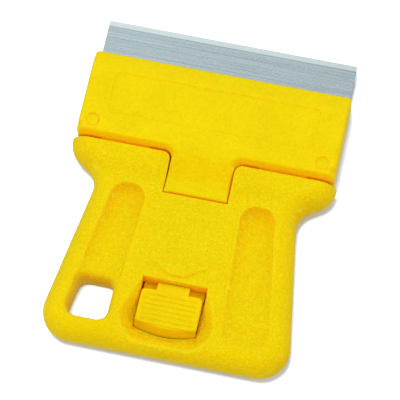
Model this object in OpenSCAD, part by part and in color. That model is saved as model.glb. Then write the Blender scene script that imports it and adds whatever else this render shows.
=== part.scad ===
// Mini scraper for a single-edge razor blade.
// A moulded handle ends in a lower jaw that the blade lies on. A head cover slides over the blade from
// the front, and a sprung latch with a press tab locks it to the handle.
// The part lies on its back with the cutting edge towards +Y. Lengths along Y are measured from the seam
// between handle and head cover, and the last step moves the origin to the middle of the footprint.

/* [Blade] */
// Width of the single-edge blade
blade_w = 39.6; // [36:0.1:40]
// Depth of the blade from its back to its cutting edge
blade_depth = 19; // [18:0.1:20]
// Thickness of the blade
blade_t = 0.23; // [0.15:0.01:0.4]
// Reach of the cutting edge beyond the head
blade_reach = 6.7; // [5.5:0.1:7.5]
// Depth of the ground bevel behind the cutting edge
bevel_depth = 0.9; // [0.5:0.1:2]
// Thickness left at the cutting edge
edge_t = 0.04; // [0.02:0.01:0.1]
// Radius of the locating notch in each end of the blade
notch_r = 1.5; // [0.8:0.1:1.8]
// Depth of the folded spine
spine_depth = 5; // [4:0.1:5.5]
// Thickness of the folded spine
spine_t = 1.05; // [0.8:0.05:1.2]
// Inset of the spine from each end of the blade
spine_inset = 0.8; // [0.5:0.1:2]

/* [Head] */
// Width of the head cover
head_w = 40.4; // [40.3:0.1:44]
// Length of the head from the seam to its nose
head_len = 14.6; // [13.5:0.1:16]
// Height of the head's top face above the back
head_t = 7.2; // [6.8:0.1:8]
// Radius of the head's corners seen from above
head_corner_r = 0.75; // [0.7:0.05:1.5]
// Radius along the head's top edges
head_edge_r = 0.65; // [0.3:0.05:0.7]
// Length of the sloping nose
nose_len = 3; // [2:0.1:4]
// Drop of the nose over its length
nose_drop = 1; // [0.5:0.1:1.5]
// Radius of the nose's upper edge
nose_r = 0.8; // [0.3:0.1:1]
// Radius where the nose slope leaves the top face
nose_bend_r = 6; // [2:0.5:8]
// Thickness of the lower jaw
jaw_t = 2.3; // [2:0.05:2.4]
// Length of the slope under the lower jaw's nose
jaw_slope_len = 3; // [2:0.1:4]
// Rise of that slope
jaw_slope_rise = 0.9; // [0.5:0.1:1.2]
// Radius of the round ejector marks
mark_r = 1.13; // [0.8:0.01:1.5]
// Depth of the ejector marks
mark_depth = 0.12; // [0.05:0.01:0.3]
// Distance of the marks from the head's sides
mark_side = 2.35; // [2:0.05:3]
// Distance of the marks from the seam
mark_back = 2.6; // [2.3:0.05:4]

/* [Tongue and lugs] */
// Width of the tongue
tongue_w = 9.7; // [9:0.1:10.5]
// Length of the tongue behind the seam
tongue_len = 6.1; // [5.5:0.1:6.5]
// Radius of the fillets where the tongue leaves the head
tongue_fillet = 1.5; // [1:0.1:2]
// Distance in front of the seam where the head's top starts to fall to the tongue's end
fall_start = 1.2; // [0.5:0.1:2]
// Distance behind the seam where that fall ends
fall_end = 5.2; // [4.5:0.1:5.5]
// Width of each lug that tucks under a shoulder
lug_w = 7.5; // [5:0.1:8]
// Length of the lugs behind the head cover
lug_len = 2.4; // [1.5:0.1:2.6]
// Thickness of the lugs
lug_t = 1.4; // [1:0.1:1.6]
// Distance of each lug's middle from the centre line
lug_at = 12.35; // [12:0.05:13]
// Height of the pads that close the seam over the lugs
pad_h = 2.9; // [2:0.1:2.9]

/* [Latch] */
// Thickness of the latch arm
arm_t = 0.9; // [0.7:0.05:1]
// Width of the latch arm
arm_w = 9.4; // [7:0.1:9.4]
// Distance of the arm's flexing root behind the seam
root_at = 4.9; // [4.5:0.1:5.2]
// Width of the raised neck in front of the tab
neck_w = 4.7; // [4:0.1:6]
// Height of the catch step behind the bridge
catch_h = 0.45; // [0.3:0.05:0.6]
// Width of the press tab's top
tab_w = 9.5; // [8.8:0.1:9.5]
// Length of the press tab along its middle, lip included
tab_len = 6.65; // [6:0.05:6.8]
// Distance of the press tab's shoulders behind the window's front edge
tab_set = 1.55; // [1.4:0.05:1.7]
// Drop of the press tab's top below the panel
tab_drop = 0.75; // [0.6:0.05:1]
// Bow of the press tab's free end
tab_bow = 0.8; // [0.4:0.1:1]
// Run of the bevelled lip at the tab's free end
lip_run = 0.85; // [0.5:0.05:0.9]
// Drop of that lip
lip_drop = 0.45; // [0.35:0.05:0.6]
// Run of the tab's sloping end wall below the lip
tab_slope = 0.5; // [0.3:0.05:0.6]
// Spread of the tab's drafted sides
tab_draft = 0.12; // [0.05:0.01:0.13]
// Radius along the tab's upper edges
tab_edge_r = 0.25; // [0.1:0.05:0.3]
// Radius of the tab's corners seen from above
tab_corner_r = 0.7; // [0.4:0.1:0.8]
// Rise of the tab's underside above the arm's
tab_rise = 0.5; // [0.4:0.05:0.6]
// Drop of the neck's top below the tab's
neck_drop = 0.1; // [0.05:0.05:0.2]
// Number of grip ribs on the tab
rib_count = 7; // [3:1:8]
// Distance from rib to rib
rib_pitch = 0.78; // [0.6:0.02:0.8]
// Radius of the ribs
rib_r = 0.2; // [0.1:0.02:0.25]
// Distance of the ribs' ends from the tab's sides
rib_margin = 0.7; // [0.4:0.1:1.5]
// Distance of the first rib behind the tab's shoulders
rib_start = 0.7; // [0.5:0.05:1]

/* [Handle] */
// Length of the handle from the seam to its end
handle_len = 31.6; // [31.4:0.1:34]
// Height of the middle panel above the back
panel_t = 5.8; // [5.6:0.05:6]
// Height of the shoulders at the seam above the back
shoulder_t = 6.5; // [6.2:0.05:6.7]
// Width over the shoulders
shoulder_w = 41.5; // [41:0.1:44]
// Distance behind the seam where the shoulders turn in
shoulder_at = 2.22; // [2.2:0.01:2.5]
// Distance behind the seam where the shoulders have fallen to the panel
shoulder_fall = 5.2; // [4.8:0.1:5.6]
// Length of level shoulder behind the seam
shoulder_flat = 1.8; // [1:0.1:2.2]
// Width where the waist lines meet
waist_w = 31.2; // [30.5:0.1:33]
// Distance of that meeting point behind the seam
waist_at = 5.5; // [5.3:0.05:6]
// Width where the flared sides meet the end
foot_w = 39.7; // [37:0.1:42]
// Radius of the shoulders seen from above
shoulder_r = 4; // [3.6:0.05:4]
// Radius of the waist seen from above
waist_r = 3.4; // [3:0.1:4.5]
// Radius of the handle's end corners
foot_r = 4.6; // [3.6:0.1:5.5]
// Inset over which the rounded rim rolls to the flat faces
rim_r = 2.9; // [2:0.1:3]
// Room under the latch arm for pressing the tab
press_room = 1.4; // [1.3:0.05:1.6]

/* [Finger scoops] */
// Distance of the scoops' front ends behind the seam
scoop_at = 5.9; // [5.4:0.1:6.5]
// Distance of the scoops' rear ends behind the seam
scoop_end = 28.2; // [26:0.1:28.5]
// Distance of the inner side from the centre line at the front
scoop_in_front = 7.35; // [7:0.05:7.6]
// Distance of the inner side from the centre line at the rear
scoop_in_rear = 8.65; // [8.5:0.05:9]
// Width of the scoops at the front
scoop_w_front = 5.1; // [4.8:0.1:5.4]
// Width of the scoops at the rear
scoop_w_rear = 7.3; // [6.5:0.1:7.5]
// Depth of the scoops at the front
scoop_depth = 1.5; // [0.8:0.05:1.8]
// Depth of the scoops at the rear
scoop_end_depth = 0.5; // [0.2:0.05:0.8]
// Inset over which a scoop's wall rolls to its floor
scoop_roll = 2.1; // [1:0.1:2.2]
// Radius of the scoops' corners seen from above
scoop_r = 2.35; // [2.3:0.05:2.4]

/* [Window and dish] */
// Width of the window
window_w = 10; // [10:0.05:10.4]
// Distance of the window's front edge behind the seam
window_at = 20.1; // [19.5:0.1:20.4]
// Run of the sloping wall at the window's front
window_slope = 0.5; // [0.2:0.05:0.6]
// Clearance between the tab's free end and the window
tab_gap = 0.25; // [0.2:0.05:0.35]
// Depth of the finger dish round the window
dish_depth = 1.7; // [1.2:0.05:1.75]
// Inset over which the dish's wall rolls to its floor
dish_roll = 2.5; // [2:0.1:2.6]
// Width where the dish's sides meet its lower corners
dish_w = 15.6; // [14.5:0.1:16]
// Distance of those corners in front of the dish's end
dish_corner = 3.4; // [3:0.1:4]
// Width of the straight end of the dish
dish_end_w = 9.6; // [9:0.1:10.5]
// Distance between the dish's end and the handle's end
dish_foot = 1.1; // [1:0.1:2]
// Radius of the dish's side corners
dish_side_r = 4; // [3.5:0.1:4.5]
// Radius of the dish's end corners
dish_end_r = 3; // [2.5:0.1:3.5]
// Radius of the dish's front corners
dish_front_r = 2.2; // [2.15:0.05:2.6]

/* [Arrow pad] */
// Width of the raised arrow pad
arrow_w = 9.2; // [7:0.1:10]
// Distance of the pad's front edge behind the seam
arrow_at = 16; // [14:0.1:16.5]
// Length of the pad's straight sides
arrow_side = 1.3; // [0.8:0.1:2]
// Length of the pad's pointed part
arrow_point = 2.1; // [1:0.1:2.3]
// Width of the pad's blunt tip
arrow_tip_w = 2.3; // [1:0.1:4]
// Height of the pad above the panel
arrow_h = 0.22; // [0.1:0.02:0.4]

/* [Hang hole] */
// Distance of the hole's inner side from the centre line
hole_in = 9.05; // [8.8:0.05:9.5]
// Width of the hole at its front
hole_w_front = 5.6; // [5.2:0.1:6]
// Width of the hole at its rear
hole_w_rear = 6.7; // [6:0.1:6.9]
// Distance of the hole's front behind the seam
hole_at = 21.4; // [21:0.1:22]
// Length of the hole
hole_len = 6.7; // [6:0.1:7]
// Radius of the hole's corners
hole_r = 1.6; // [1.2:0.1:2.2]
// Radius of the hole's rolled edges
hole_roll = 0.9; // [0.4:0.05:1.1]

/* [Fits] */
// Gap in the seam between handle and head cover
seam_gap = 0.25; // [0.15:0.01:0.35]
// Gap round the tongue and the latch block
tongue_gap = 0.22; // [0.15:0.01:0.35]
// Gap round the lugs
lug_gap = 0.15; // [0.1:0.01:0.25]
// Gap between the seam pads and the handle
pad_gap = 0.05; // [0.04:0.01:0.1]
// Gap above and below pieces that slide past each other
pass_gap = 0.16; // [0.12:0.01:0.2]
// Gap between the blade and the head cover above it
lip_gap = 0.08; // [0.05:0.01:0.15]
// Gap round the spine in its seat
seat_gap = 0.1; // [0.05:0.01:0.15]
// Gap round the arm's rounded root
root_gap = 0.1; // [0.06:0.01:0.15]

/* [Hidden] */
plastic_colour = [0.95, 0.80, 0.04];
steel_colour = [0.62, 0.65, 0.69];
spine_colour = [0.55, 0.57, 0.60];
// Overrun of every cut past the face that it opens
over = 1;
// Faces along a rounded corner, along a rolled edge and along a bowed end
corner_steps = 7;
roll_steps = 6;
bow_steps = 12;
round_fn = 48;

// Heights above the back face
blade_mid = jaw_t + blade_t / 2;
spine_low = blade_mid - spine_t / 2;
spine_top = blade_mid + spine_t / 2;
lip_z = jaw_t + blade_t + lip_gap;
relief_top = spine_top + seat_gap;
arm_low = spine_top + pass_gap;
arm_top = arm_low + arm_t;
bridge_low = arm_top + pass_gap;
tab_top = panel_t - tab_drop;
tab_low = arm_low + tab_rise;
channel_floor = arm_low - press_room;

// Places along Y
edge_y = head_len + blade_reach;
blade_back = edge_y - blade_depth;
spine_fold = (spine_t - blade_t) / 2;
spine_back = blade_back - spine_fold;
spine_front = spine_back + spine_depth;
spine_w = blade_w - 2 * spine_inset;
tab_front = -window_at - tab_set;
tab_end = tab_front - tab_len;
window_end = tab_end - tab_slope - tab_gap;
scoop_slope = (scoop_depth - scoop_end_depth) / (scoop_end - scoop_at);
hole_slope = (scoop_depth - scoop_slope * (hole_at - scoop_at)) / hole_len;
dish_end = dish_foot - handle_len;
middle_y = (edge_y - handle_len) / 2;

function unit(v) = v / norm(v);

// Smooth step from 0 to 1 as s goes from 0 to 1
function ease(s) = (1 - cos(180 * max(0, min(1, s)))) / 2;

// Height of the handle's top: level shoulders that fall to the middle panel
function handle_top(y) =
    panel_t + (shoulder_t - panel_t) * ease((y + shoulder_fall) / (shoulder_fall - shoulder_flat));

// Height of the head cover's top over the tongue: it falls from the head to the middle panel
function tongue_top(y) = panel_t + (head_t - panel_t) * ease((y + fall_end) / (fall_end + fall_start));

// Arc that rounds corner q between p and s, as [x, y, normal x, normal y], for an outline that runs
// anticlockwise. The normals point outwards on hollow corners too.
function rounded_corner(p, q, s, r) =
    let (u = unit(q - p))
    let (v = unit(s - q))
    let (bend = sign(cross(u, v)) * acos(u * v))
    let (n0 = [u[1], -u[0]])
    let (start = q - u * r * tan(abs(bend) / 2))
    let (centre = start - sign(bend) * r * n0)
    let (a0 = atan2(n0[1], n0[0]))
    [for (i = [0:corner_steps])
        let (n = [cos(a0 + bend * i / corner_steps), sin(a0 + bend * i / corner_steps)])
        concat(centre + sign(bend) * r * n, n)];

// Closed outline with every corner rounded
function rounded_outline(pts, radii) =
    let (n = len(pts))
    [for (i = [0:n - 1])
        each rounded_corner(pts[(i + n - 1) % n], pts[i], pts[(i + 1) % n], radii[i])];

// Plain points of an outline moved inwards by inset
function inset_points(outline, inset) = [for (q = outline) [q[0] - inset * q[2], q[1] - inset * q[3]]];

// The same points at height z
function ring(outline, inset, z) = [for (p = inset_points(outline, inset)) [p[0], p[1], z]];

// Points of a list and their mirror images across the centre line, kept anticlockwise
function both_sides(left) =
    concat(left, [for (i = [len(left) - 1:-1:0]) [-left[i][0], left[i][1]]]);

// Points of a bowed end from the left corner to the right corner, with its middle furthest from the seam
function bowed_end(half_w, end_y, bow) =
    [for (i = [0:bow_steps])
        let (s = 2 * i / bow_steps - 1)
        [half_w * s, end_y + bow * s * s]];

// Side walls between rings of equal length, listed from the lowest ring up
function wall_faces(rings) =
    let (n = len(rings[0]))
    [for (j = [0:len(rings) - 2], i = [0:n - 1])
        let (a = j * n + i)
        let (b = j * n + (i + 1) % n)
        each [[a, a + n, b], [b, a + n, b + n]]];

// Closed solid between rings that are flat at both ends
module skin(rings) {
    n = len(rings[0]);
    last = (len(rings) - 1) * n;
    floor_face = [for (i = [0:n - 1]) i];
    roof_face = [for (i = [n - 1:-1:0]) last + i];
    faces = concat([floor_face, roof_face], wall_faces(rings));
    polyhedron([for (r = rings) each r], faces, convexity = 6);
}

// Closed solid between rings whose points lie in mirrored pairs, so that both ends are made of strips
// straight across and can rise and fall along Y
module strip_skin(rings) {
    n = len(rings[0]);
    last = (len(rings) - 1) * n;
    floor_faces = [for (i = [0:n / 2 - 2]) each [[i, i + 1, n - 2 - i], [i, n - 2 - i, n - 1 - i]]];
    roof_faces = [for (f = floor_faces) [last + f[2], last + f[1], last + f[0]]];
    faces = concat(floor_faces, roof_faces, wall_faces(rings));
    polyhedron([for (r = rings) each r], faces, convexity = 6);
}

// Pocket with a crisp rim whose wall rolls to a flat floor. The rim lies at z = 0 and the floor rises
// by slope for each unit of length away from y = start.
module rolled_pocket(outline, depth, roll, slope, start) {
    function lift(p) = slope * (start - p[1]);
    mouth = [for (p = inset_points(outline, 0)) [p[0], p[1], over + lift(p)]];
    wall = [for (j = [roll_steps:-1:0])
        let (a = 90 * j / roll_steps)
        [for (p = inset_points(outline, roll * (1 - cos(a)))) [p[0], p[1], lift(p) - depth * sin(a)]]];
    skin(concat(wall, [mouth]));
}

// Cut with a round edge at both faces of a plate, from below z = 0 to above z = top. The upper edge rises
// by slope for each unit of length away from y = start.
module rolled_hole(outline, top, roll, slope, start) {
    function lift(p) = slope * (start - p[1]);
    low = [for (j = [0:roll_steps])
        let (a = 90 * j / roll_steps)
        ring(outline, roll * (sin(a) - 1), roll * (1 - cos(a)))];
    high = [for (j = [0:roll_steps])
        let (a = 90 * j / roll_steps)
        let (z = top - roll * (1 - sin(a)))
        [for (p = inset_points(outline, roll * (cos(a) - 1))) [p[0], p[1], z + lift(p)]]];
    mouth = [for (p = inset_points(outline, -roll)) [p[0], p[1], top + lift(p) + over]];
    skin(concat([ring(outline, -roll, -over)], low, high, [mouth]));
}

// Slab with a plan outline, between two heights
module slab(points, low, high) {
    translate([0, 0, low]) linear_extrude(height = high - low) polygon(points);
}

// Bar across the part whose side profile is given as [y, z] points
module cross_bar(width, points) {
    rotate([90, 0, 90]) linear_extrude(height = width, center = true) polygon(points);
}

// Box centred on the centre line
module cross_box(width, y0, y1, z0, z1) {
    translate([-width / 2, y0, z0]) cube([width, y1 - y0, z1 - z0]);
}

// Moves the origin from the seam to the middle of the footprint
module placed() {
    translate([0, -middle_y, 0]) children();
}

// Outline of head and tongue seen from above
function cover_outline() =
    let (x = head_w / 2)
    let (t = tongue_w / 2)
    rounded_outline(
        [[x, head_len], [-x, head_len], [-x, seam_gap], [-t, seam_gap],
         [-t, -tongue_len], [t, -tongue_len], [t, seam_gap], [x, seam_gap]],
        [head_corner_r, head_corner_r, head_corner_r, tongue_fillet,
         head_corner_r, head_corner_r, tongue_fillet, head_corner_r]);

// Side profile of the head cover: tongue, head and sloping nose
function cover_profile() =
    let (nose_top = head_t - nose_drop)
    let (crest = [head_len - nose_len, head_t])
    let (nose = [head_len, nose_top])
    let (rear = -tongue_len - over)
    let (fall_steps = 4 * roll_steps)
    concat(
        [[rear, lip_z], [head_len, lip_z]],
        inset_points(rounded_corner([head_len, lip_z], nose, crest, nose_r), 0),
        inset_points(rounded_corner(nose, crest, [0, head_t], nose_bend_r), 0),
        [for (i = [0:fall_steps])
            let (y = fall_start - (fall_start + fall_end) * i / fall_steps)
            [y, tongue_top(y)]],
        [[rear, panel_t]]);

// Rounded root of the latch arm, or the socket that it turns in
module arm_root(r, width) {
    translate([0, -root_at, arm_low + arm_t / 2]) rotate([0, 90, 0])
        cylinder(r = r, h = width, center = true, $fn = round_fn);
}

// Lugs behind the head cover, rooted in the head, with a pad above each that closes the seam
module lugs() {
    end_y = seam_gap - lug_len;
    root_y = seam_gap + lug_t;
    for (side = [-1, 1])
        translate([side * lug_at, 0, arm_low])
            cross_bar(lug_w, [
                [end_y, 0], [root_y, 0], [root_y, pad_h],
                [pad_gap, pad_h], [pad_gap, lug_t], [end_y, lug_t]]);
}

// Pockets under the handle's shoulders that take the lugs
module lug_pockets() {
    for (side = [-1, 1])
        translate([side * lug_at, 0, 0])
            cross_box(lug_w + 2 * lug_gap, seam_gap - lug_len - lug_gap, seam_gap + lug_t,
                arm_low - lug_gap, arm_low + lug_t + lug_gap);
}

module head_block() {
    outline = cover_outline();
    rolled_edge = [for (j = [0:roll_steps])
        let (a = 90 * j / roll_steps)
        ring(outline, head_edge_r * (1 - cos(a)), head_t - head_edge_r * (1 - sin(a)))];
    skin(concat([ring(outline, 0, 0)], rolled_edge));
}

module head_cover() {
    color(plastic_colour) placed() {
        difference() {
            intersection() {
                union() {
                    head_block();
                    cross_box(tongue_w, -tongue_len, seam_gap + tongue_fillet, 0, head_t);
                }
                cross_bar(head_w + 2 * over, cover_profile());
            }
            // Room above the spine, open to the rear
            cross_box(spine_w + 2 * seat_gap, seam_gap - over, spine_front + seat_gap,
                lip_z - over, relief_top);
            // Underside of the tongue, and the space that the arm lies in
            cross_box(head_w, -tongue_len - over, seam_gap, lip_z - over, arm_low);
            cross_box(head_w, -tongue_len - over, -root_at, lip_z - over, bridge_low);
            arm_root(arm_t / 2 + root_gap, tongue_w + 2 * over);
            for (side = [-1, 1])
                translate([side * (head_w / 2 - mark_side), mark_back, head_t - mark_depth])
                    cylinder(r = mark_r, h = mark_depth + over, $fn = round_fn);
        }
        lugs();
    }
}

// Press tab at height z, with its front, its sides and its bowed free end moved out
function tab_ring(front_out, side_out, end_out, z) =
    let (half = tab_w / 2 + side_out)
    let (front = tab_front + front_out)
    let (end = tab_end - end_out)
    let (right = [half, front])
    let (left = [-half, front])
    let (plan = concat(
        inset_points(rounded_corner([half, end], right, left, tab_corner_r), 0),
        inset_points(rounded_corner(right, left, [-half, end], tab_corner_r), 0),
        bowed_end(half, end, tab_bow)))
    [for (p = plan) [p[0], p[1], z]];

// Press tab: drafted sides, rounded upper edges, and a free end with a sloping wall and a bevelled lip
module press_tab() {
    lip_low = tab_top - lip_drop;
    wall_top = tab_top - tab_edge_r;
    lip_draft = tab_draft * (wall_top - lip_low) / (wall_top - tab_low);
    upper_edge = [for (j = [0:roll_steps])
        let (a = 90 * j / roll_steps)
        let (out = tab_edge_r * (cos(a) - 1))
        let (z = tab_top - tab_edge_r * (1 - sin(a)))
        tab_ring(out, out, lip_run * (lip_low - z) / lip_drop, z)];
    skin(concat(
        [tab_ring(0, tab_draft, tab_slope, tab_low), tab_ring(0, lip_draft, 0, lip_low)],
        upper_edge));
}

module latch_arm() {
    catch_y = -window_at - window_slope - pass_gap;
    color(plastic_colour) placed() union() {
        arm_root(arm_t / 2, arm_w);
        cross_box(arm_w, tab_front - arm_t, -root_at, arm_low, arm_top);
        // Neck on the arm: a catch step behind the bridge and a ramp up to the tab
        cross_bar(neck_w, [
            [catch_y, tab_low + neck_drop],
            [catch_y, bridge_low + catch_h],
            [tab_front, tab_top - neck_drop],
            [tab_front - over, tab_top - neck_drop],
            [tab_front - over, tab_low + neck_drop]]);
        press_tab();
        for (i = [0:rib_count - 1])
            translate([0, tab_front - rib_start - i * rib_pitch, tab_top]) rotate([0, 90, 0])
                cylinder(r = rib_r, h = tab_w - 2 * rib_margin, center = true, $fn = round_fn);
    }
}

module blade() {
    color(steel_colour) placed() difference() {
        cross_bar(blade_w, [
            [blade_back, jaw_t],
            [edge_y - bevel_depth, jaw_t],
            [edge_y, blade_mid - edge_t / 2],
            [edge_y, blade_mid + edge_t / 2],
            [edge_y - bevel_depth, jaw_t + blade_t],
            [blade_back, jaw_t + blade_t]]);
        for (side = [-1, 1])
            translate([side * blade_w / 2, spine_front + notch_r, jaw_t - over])
                cylinder(r = notch_r, h = blade_t + 2 * over, $fn = round_fn);
    }
}

module blade_spine() {
    color(spine_colour) placed() difference() {
        union() {
            translate([0, spine_back + spine_t / 2, blade_mid]) rotate([0, 90, 0])
                cylinder(d = spine_t, h = spine_w, center = true, $fn = round_fn);
            cross_box(spine_w, spine_back + spine_t / 2, spine_front, spine_low, spine_top);
        }
        cross_box(spine_w + 2 * over, blade_back, spine_front + over, jaw_t, jaw_t + blade_t);
    }
}

// Outline of the grip, from the left front corner round the end to the right front corner
function grip_outline() =
    let (s = [-shoulder_w / 2, -shoulder_at])
    let (w = [-waist_w / 2, -waist_at])
    let (f = [-foot_w / 2, -handle_len])
    let (front = [-shoulder_w / 2, 0])
    let (left = concat(
        [concat(front, [-1, 0])],
        rounded_corner(front, s, w, shoulder_r),
        rounded_corner(s, w, f, waist_r),
        rounded_corner(w, f, [-f[0], f[1]], foot_r)))
    concat(left, [for (i = [len(left) - 1:-1:0]) let (q = left[i]) [-q[0], q[1], -q[2], q[3]]]);

// Grip with its rim rolled all round and its top following the shoulders
module grip() {
    outline = grip_outline();
    rim_steps = 2 * roll_steps;
    strip_skin([for (j = [0:rim_steps])
        let (a = 180 * j / rim_steps)
        [for (p = inset_points(outline, rim_r * (1 - sin(a))))
            [p[0], p[1], handle_top(p[1]) * (1 - cos(a)) / 2]]]);
}

// Lower jaw under the blade. Its bottom edges carry on the grip's rolled rim.
module lower_jaw() {
    x = head_w / 2;
    rear = -over;
    plan = rounded_outline(
        [[x, head_len], [-x, head_len], [-x, rear], [x, rear]],
        [head_corner_r, head_corner_r, head_corner_r, head_corner_r]);
    section = both_sides([for (j = [roll_steps:-1:0])
        let (a = 90 * j / roll_steps)
        [rim_r * (1 - sin(a)) - x, shoulder_t * (1 - cos(a)) / 2]]);
    intersection() {
        slab(inset_points(plan, 0), 0, jaw_t);
        translate([0, head_len, 0]) rotate([90, 0, 0]) linear_extrude(height = head_len - rear)
            polygon(section);
        cross_bar(head_w, [
            [rear, 0],
            [head_len - jaw_slope_len, 0],
            [head_len, jaw_slope_rise],
            [head_len, jaw_t],
            [rear, jaw_t]]);
    }
}

// Raised pad that points to the press tab
module arrow_pad() {
    half = arrow_w / 2;
    tip = arrow_tip_w / 2;
    side_end = -arrow_at - arrow_side;
    point_end = side_end - arrow_point;
    slab(both_sides([[-half, -arrow_at], [-half, side_end], [-tip, point_end]]),
        panel_t - over, panel_t + arrow_h);
}

// Finger scoop on the right, or on the left for side = -1
module scoop(side) {
    outline = rounded_outline(
        [[scoop_in_front + scoop_w_front, -scoop_at], [scoop_in_front, -scoop_at],
         [scoop_in_rear, -scoop_end], [scoop_in_rear + scoop_w_rear, -scoop_end]],
        [scoop_r, scoop_r, scoop_r, scoop_r]);
    mirror([side < 0 ? 1 : 0, 0, 0]) translate([0, 0, panel_t])
        rolled_pocket(outline, scoop_depth, scoop_roll, scoop_slope, -scoop_at);
}

// Shield-shaped finger dish round the window
module dish() {
    front = [-window_w / 2, -window_at];
    corner = [-dish_w / 2, dish_end + dish_corner];
    foot = [-dish_end_w / 2, dish_end];
    outline = rounded_outline(
        both_sides([front, corner, foot]),
        [dish_front_r, dish_side_r, dish_end_r, dish_end_r, dish_side_r, dish_front_r]);
    translate([0, 0, panel_t]) rolled_pocket(outline, dish_depth, dish_roll, 0, 0);
}

// Hang hole beside the dish
module hang_hole() {
    outline = rounded_outline(
        [[-hole_in, -hole_at], [-hole_in - hole_w_front, -hole_at],
         [-hole_in - hole_w_rear, -hole_at - hole_len], [-hole_in, -hole_at - hole_len]],
        [hole_r, hole_r, hole_r, hole_r]);
    rise = scoop_slope * (hole_at - scoop_at);
    rolled_hole(outline, panel_t - scoop_depth + rise, hole_roll, hole_slope, -hole_at);
}

// Room for the tongue and its latch block, open at the seam
module tongue_groove() {
    slab(inset_points(cover_outline(), -tongue_gap), jaw_t, shoulder_t + over);
    cross_box(tongue_w + 2 * tongue_gap, -tongue_len - tongue_gap, seam_gap, jaw_t, shoulder_t + over);
}

// Channel under the bridge that the arm flexes in, and the window over its end with a sloping front wall
module latch_channel() {
    half = window_w / 2;
    end = bowed_end(half, window_end, tab_bow);
    function plan(front) = concat([[half, front], [-half, front]], end);
    function opening(front, z) = [for (p = plan(front)) [p[0], p[1], z]];
    sill = -window_at - window_slope;
    mouth = window_slope * over / (panel_t - bridge_low) - window_at;
    slab(plan(-root_at), channel_floor, bridge_low);
    skin([opening(sill, arm_low), opening(sill, bridge_low), opening(mouth, panel_t + over)]);
}

module handle() {
    color(plastic_colour) placed() difference() {
        union() {
            grip();
            lower_jaw();
            arrow_pad();
        }
        tongue_groove();
        lug_pockets();
        latch_channel();
        dish();
        scoop(-1);
        scoop(1);
        hang_hole();
        // Seat of the spine
        cross_box(spine_w + 2 * seat_gap, spine_back - seat_gap, spine_front + seat_gap,
            spine_low - seat_gap, jaw_t + over);
    }
}

handle();
head_cover();
latch_arm();
blade();
blade_spine();
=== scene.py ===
import math

import bmesh
import bpy
import numpy as np
from mathutils import Matrix, Vector


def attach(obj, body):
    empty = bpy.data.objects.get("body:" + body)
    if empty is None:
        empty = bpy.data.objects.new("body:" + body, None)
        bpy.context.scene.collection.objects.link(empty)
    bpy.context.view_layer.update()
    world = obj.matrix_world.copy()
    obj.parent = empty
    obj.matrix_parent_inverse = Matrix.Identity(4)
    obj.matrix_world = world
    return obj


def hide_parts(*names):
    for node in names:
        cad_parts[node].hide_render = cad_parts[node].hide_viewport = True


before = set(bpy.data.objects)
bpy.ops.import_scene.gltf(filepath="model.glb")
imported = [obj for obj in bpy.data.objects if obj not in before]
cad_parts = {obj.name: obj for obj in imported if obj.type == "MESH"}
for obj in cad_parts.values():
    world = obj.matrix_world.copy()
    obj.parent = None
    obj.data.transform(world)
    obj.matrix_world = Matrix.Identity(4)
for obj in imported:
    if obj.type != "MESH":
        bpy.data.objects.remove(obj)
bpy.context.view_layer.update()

mm = 0.001
seamY = 5.15  # shapes below measure y from the seam, which lies this far in front of the origin

# places outside the part, where outlines and cutting tools may end
outside = {"low": -1, "high": 9, "higher": 12, "aside": 30, "front": 40}


# half a cosine wave from 0 to 1
def ease(s):
    return (1 - np.cos(np.pi * np.clip(s, 0, 1))) / 2


# straight slope that starts at 0, with its corner rounded over the bend
def softSlope(s, slope, bend):
    return slope * (s + np.sqrt(s * s + bend ** 2)) / 2


# height lost over a rounded edge: a quarter circle of radius r, level at distance r and upright at 0
def edgeDrop(distance, r):
    return r - np.sqrt(np.maximum(r * r - (r - np.clip(distance, 0, r)) ** 2, 0))


# closed outline whose corners are arcs from tangent point to tangent point
def roundLoop(corners, radii, steps=10):
    pts = np.array(corners, float)
    arcs = []
    for before, here, after, r in zip(np.roll(pts, 1, 0), pts, np.roll(pts, -1, 0), radii):
        u = (here - before) / np.linalg.norm(here - before)
        v = (after - here) / np.linalg.norm(after - here)
        bend = math.atan2(u[0] * v[1] - u[1] * v[0], u @ v)
        normal = math.copysign(1, bend) * np.array([u[1], -u[0]])
        centre = here - u * r * math.tan(abs(bend) / 2) - normal * r
        angle = math.atan2(normal[1], normal[0]) + np.linspace(0, bend, steps + 1)
        arcs.append(centre + r * np.stack([np.cos(angle), np.sin(angle)], 1))
    return np.vstack(arcs)


# rounded outline from the corners of its left side, which are mirrored
def wholeLoop(left, radii, steps=10):
    right = [(-x, y) for x, y in left[::-1]]
    return roundLoop(left + right, [*radii, *radii[::-1]], steps)


# outline with straight sides and an end that bows out as a parabola
def bowedLoop(half, front, end, bow):
    s = np.linspace(-1, 1, 13)
    rear = np.column_stack([half * s, -end + bow * s * s])
    return np.vstack([[(half, front), (-half, front)], rear])


# corners of a rectangle
def boxLoop(x0, x1, y0, y1):
    return [(x0, y0), (x1, y0), (x1, y1), (x0, y1)]


# circle of y and z, as a side profile
def roundProfile(y, z, r):
    angle = np.linspace(0, 2 * math.pi, 40, endpoint=False)
    return np.column_stack([y + r * np.cos(angle), z + r * np.sin(angle)])


# distance to a closed outline, negative inside: the nearest of its segments, with the sign from crossings
def loopDistance(x, y, loop):
    nearest = np.full(x.shape, np.inf)
    inside = np.zeros(x.shape, bool)
    for (ax, ay), (bx, by) in zip(loop, np.roll(loop, -1, 0)):
        ex, ey = bx - ax, by - ay
        px, py = x - ax, y - ay
        t = np.clip((px * ex + py * ey) / max(ex * ex + ey * ey, 1e-12), 0, 1)
        nearest = np.minimum(nearest, (px - t * ex) ** 2 + (py - t * ey) ** 2)
        inside ^= ((ay > y) != (by > y)) & (px < ex * py / (ey if ey else 1))
    return np.where(inside, -1, 1) * np.sqrt(nearest)


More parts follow.
